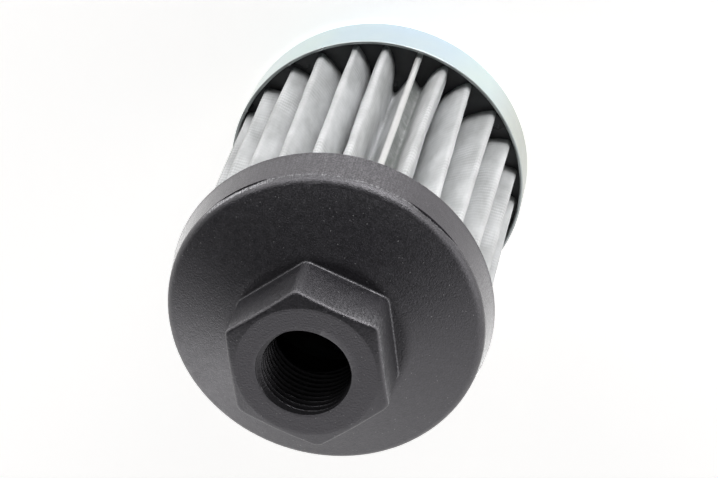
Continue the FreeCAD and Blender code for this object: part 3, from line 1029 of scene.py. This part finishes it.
def makeCoreTube():
    s = coreShape
    radius, side, perRow = s["radius"], s["pointsPerSide"], s["holesPerRow"]
    cellTurn = 360 / perRow
    holeRadius = s["holeWidth"] / 2
    halfWide = math.radians(cellTurn / 2) * radius
    halfHigh = s["rowPitch"] / 2
    points, faces, index = [], [], {}

    def vertex(turn, z, layer):
        key = (round(math.radians(turn % 360) * radius, 3), round(z, 3), layer)
        if key not in index:
            index[key] = len(points)
            points.append(polar(radius - layer * s["sheet"], turn, z))
        return index[key]

    def addBoth(quad):
        # the outside and the inside of the sheet
        faces.append([vertex(t, z, 0) for t, z in quad])
        faces.append([vertex(t, z, 1) for t, z in reversed(quad)])

    def cellEdge(k):
        # the k-th point round a cell's border, as a share of its half width and half height
        leg, step = divmod(k, side)
        t = step / side * 2 - 1
        return ((t, -1), (1, t), (-t, 1), (-1, -t))[leg]

    def cellColumn(k, turn0, z0):
        # from the hole's edge out to the border
        bx, bz = cellEdge(k)
        borderX, borderZ = bx * halfWide, bz * halfHigh
        heading = math.atan2(borderZ, borderX)
        holeX, holeZ = holeRadius * math.cos(heading), holeRadius * math.sin(heading)
        return [(turn0 + math.degrees(blendTo(holeX, borderX, share) / radius),
                 z0 + blendTo(holeZ, borderZ, share)) for share in s["rings"]]

    for row in range(s["rows"]):
        for place in range(perRow):
            turn0, z0 = cellTurn * (place + 0.5 * (row % 2)), s["firstRow"] + row * s["rowPitch"]
            columns = [cellColumn(k, turn0, z0) for k in range(4 * side)]
            for here, there in zip(columns, columns[1:] + columns[:1]):
                for i in range(len(s["rings"]) - 1):
                    addBoth([here[i], here[i + 1], there[i + 1], there[i]])
                faces.append([vertex(*here[0], 0), vertex(*there[0], 0), vertex(*there[0], 1), vertex(*here[0], 1)])
    # plain bands below and above the holes
    lowEdge = s["firstRow"] - halfHigh
    highEdge = s["firstRow"] + (s["rows"] - 0.5) * s["rowPitch"]
    turns = [cellTurn / side * i for i in range(perRow * side + 1)]
    for edge, end, upward in ((lowEdge, s["bottomZ"], False), (highEdge, s["topZ"], True)):
        levels = [edge, blendTo(edge, end, 0.5), end]
        shift = cellTurn / 2 if not upward or (s["rows"] - 1) % 2 == 0 else 0
        for a, b in zip(turns, turns[1:]):
            a, b = a + shift, b + shift
            for low, high in zip(levels, levels[1:]):
                quad = [(a, low), (b, low), (b, high), (a, high)]
                addBoth(quad if upward else quad[::-1])
            rim = [vertex(a, end, 0), vertex(b, end, 0), vertex(b, end, 1), vertex(a, end, 1)]
            faces.append(rim if upward else rim[::-1])
    return finishMesh("coreTube", meshOf("coreTube", points, faces), 40)


# the two beds of potting resin, with a low wavy surface that creeps up at the walls

resinShape = {
    "closed": {"inside": 17.02, "outside": 33.68, "farZ": 0.85, "openZ": 9.0, "corner": 1.2},
    "port": {"inside": 17.02, "outside": 32.78, "farZ": 78.05, "openZ": 74.4, "corner": 0.0},
    "creep": 0.45, "creepReach": 0.5, "wave": 0.12, "waveScale": 0.4,
    "columns": 168, "surfaceRows": 18,
}


def makeResin(name, key):
    r, s = resinShape, resinShape[key]
    inside, outside, openZ, farZ, corner = s["inside"], s["outside"], s["openZ"], s["farZ"], s["corner"]
    upward = 1 if openZ > farZ else -1
    angles = [360 * i / r["columns"] for i in range(r["columns"])]

    def surfacePoint(radius, a):
        creep = math.exp(-(radius - inside) / r["creepReach"]) + math.exp(-(outside - radius) / r["creepReach"])
        x, y = radius * math.cos(math.radians(a)), radius * math.sin(math.radians(a))
        wave = r["wave"] * waver(x * r["waveScale"], y * r["waveScale"], openZ)
        return polar(radius, a, openZ + upward * (r["creep"] * creep + wave))

    rows = []
    for i in range(r["surfaceRows"] + 1):
        radius = blendTo(inside, outside, 0.5 - 0.5 * math.cos(math.pi * i / r["surfaceRows"]))
        rows.append([surfacePoint(radius, a) for a in angles])
    side = [(outside, blendTo(openZ, farZ, 0.5))]
    side += arcPoints(outside - corner, farZ + corner, corner, 0, -90, 5) if corner else [(outside, farZ)]
    side += [(blendTo(inside, outside, 0.5), farZ), (inside, farZ)]
    resin = gridObject(name, rows + turnedRows(side, angles), True, True, 50)
    if upward > 0:
        resin.data.flip_normals()
    return resin


def addPiece(piece, node, slotName, *materials):
    for material in materials:
        piece.data.materials.append(material)
    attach(piece, "root")
    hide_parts(node)
    print(piece.name, sum(len(p.vertices) - 2 for p in piece.data.polygons), "triangles")


print("materials")
blackNylon = blackNylonMaterial("blackNylon", 0.0, nylonLook["specular"])
satinNylon = blackNylonMaterial("satinNylon", nylonLook["satinSheen"], nylonLook["specular"])
# a less shiny copy of the nylon, for painted shade in the bore
boreShadeNylon = blackNylonMaterial("boreShadeNylon", 0.0, nylonLook["boreShadeSpecular"])
zincPlated = zincMaterial()
wireCloth = clothMaterial()
clipSteel = plainSteelMaterial("clipSteel")
coreSteel = plainSteelMaterial("coreSteel")
pottingResin = resinMaterial()

print("pieces")
addPiece(makeThreadedCap(), "threaded_end_cap", "black_nylon", blackNylon, satinNylon, boreShadeNylon)
addPiece(makeClosedCap(), "closed_end_cap", "zinc_plated_steel", zincPlated)
addPiece(makePleatedCloth(), "pleated_mesh", "steel_wire_cloth", wireCloth)
addPiece(makeSeamClip(), "seam_clip", "clip_steel", clipSteel)
addPiece(makeCoreTube(), "core_tube", "core_steel", coreSteel)
addPiece(makeResin("closedEndResin", "closed"), "closed_end_resin", "potting_resin", pottingResin)
addPiece(makeResin("portEndResin", "port"), "port_end_resin", "potting_resin", pottingResin)


# floor, light and camera

floorLook = {"size": 6.0, "colour": (0.95, 0.935, 0.92), "roughness": 0.9, "specular": 0.1, "whiteLevel": 0.485}


def makeFloor():
    look = floorLook
    half = look["size"] / 2
    corners = [(-half, -half, 0), (half, -half, 0), (half, half, 0), (-half, half, 0)]
    floor = addObject("floor", meshOf("floor", corners, [(0, 1, 2, 3)]))
    mat, tree, shader = startMaterial("paleFloor")
    feed(shader, {
        "Base Color": look["colour"],
        "Roughness": look["roughness"],
        "Specular IOR Level": look["specular"],
    })
    # lifted to white where it is seen, with the shadow left as it falls
    rays = addNode(tree, "LightPath").outputs
    mirrored = mathNode("MAXIMUM", rays["Is Glossy Ray"], rays["Is Transmission Ray"])
    seen = mathNode("MAXIMUM", rays["Is Camera Ray"], mirrored)
    glow = fedNode("Emission", {"Color": (1, 1, 1), "Strength": times(seen, look["whiteLevel"])})
    lifted = fedNode("AddShader", {0: shader.outputs[0], 1: glow.outputs[0]})
    tree.links.new(lifted.outputs[0], tree.nodes["Material Output"].inputs["Surface"])
    floor.data.materials.append(mat)


lightLook = {
    # the room is dim overhead on one side: (how far towards the dim side, level)
    "dimSide": (90, 48),
    "worldLevels": [(0.0, 1.15), (0.5, 1.15), (0.625, 1.05), (0.685, 0.20), (0.90, 0.09)],
    # a dark corner: where, and (how far towards it, share of the light that is left)
    "darkCorner": (170, 20),
    "cornerLevels": [(0.0, 1.0), (0.90, 1.0), (0.965, 0.3), (1.0, 0.2)],
    # and bright all round at table height: (sine of the height, level)
    "tableLevels": [(0.0, 1.25), (0.08, 1.25), (0.42, 0.0)],
    "aim": (0, 0, 0.05),
    "lamps": {
        # name: (azimuth, elevation, distance, size, watts)
        "keySoftbox": (112, 2, 0.9, 0.8, 4.0),
        "nearSoftbox": (62, 0, 0.9, 0.6, 6.5),
        "rightSoftbox": (0, 2, 0.9, 0.6, 1.6),
        "farSoftbox": (222, 4, 1.0, 0.5, 1.0),
    },
}


def pointing(azimuth, elevation):
    # unit vector towards a place in the room, in degrees from +X and from the floor
    around, up = math.radians(azimuth), math.radians(elevation)
    return Vector((math.cos(up) * math.cos(around), math.cos(up) * math.sin(around), math.sin(up)))


def levelRamp(value, levels):
    ramp = fedNode("ValToRGB", {"Fac": value})
    stops = ramp.color_ramp.elements
    while len(stops) < len(levels):
        stops.new(0.5)
    for stop, (position, level) in zip(stops, levels):
        stop.position = position
        stop.color = (level, level, level, 1)
    return ramp.outputs["Color"]


def makeWorld():
    look = lightLook
    world = bpy.data.worlds.new("studio")
    bpy.context.scene.world = world
    world.use_nodes = True
    tree = world.node_tree
    outwards = addNode(tree, "TexCoord").outputs["Generated"]

    def towards(place, levels):
        turned = fedNode("VectorMath", {0: outwards, 1: pointing(*place)}, operation="DOT_PRODUCT")
        return levelRamp(rangeNode(turned.outputs["Value"], -1, 1), levels)

    overhead = towards(look["dimSide"], look["worldLevels"])
    table = levelRamp(splitNode(outwards)["Z"], look["tableLevels"])
    room = times(mathNode("MAXIMUM", overhead, table), towards(look["darkCorner"], look["cornerLevels"]))
    # white where the camera sees it
    seen = addNode(tree, "LightPath").outputs["Is Camera Ray"]
    feed(tree.nodes["Background"], {"Color": mixColours(seen, room, (1.0, 1.0, 1.0)), "Strength": 1.0})


def makeLamps():
    for name, (azimuth, elevation, distance, size, watts) in lightLook["lamps"].items():
        lamp = bpy.data.lights.new(name, "AREA")
        lamp.shape = "DISK"
        lamp.size = size
        lamp.energy = watts
        holder = addObject(name, lamp)
        direction = pointing(azimuth, elevation)
        holder.location = Vector(lightLook["aim"]) + direction * distance
        holder.rotation_euler = direction.to_track_quat("Z", "Y").to_euler()


cameraLook = {
    "place": (0.1129915, 0.2499467, 0.5285609), "turn": (-28.003, 9.445, -6.940),
    "lens": 125.348, "sensor": 36, "clip": (0.01, 20),
}


def makeCamera():
    lensData = bpy.data.cameras.new("photoCamera")
    lensData.lens = cameraLook["lens"]
    lensData.sensor_width = cameraLook["sensor"]
    lensData.clip_start, lensData.clip_end = cameraLook["clip"]
    camera = addObject("photoCamera", lensData)
    camera.location = cameraLook["place"]
    camera.rotation_euler = [math.radians(a) for a in cameraLook["turn"]]
    bpy.context.scene.camera = camera


print("floor, light and camera")
makeFloor()
makeWorld()
makeLamps()
makeCamera()
bpy.context.scene.view_settings.view_transform = "Standard"
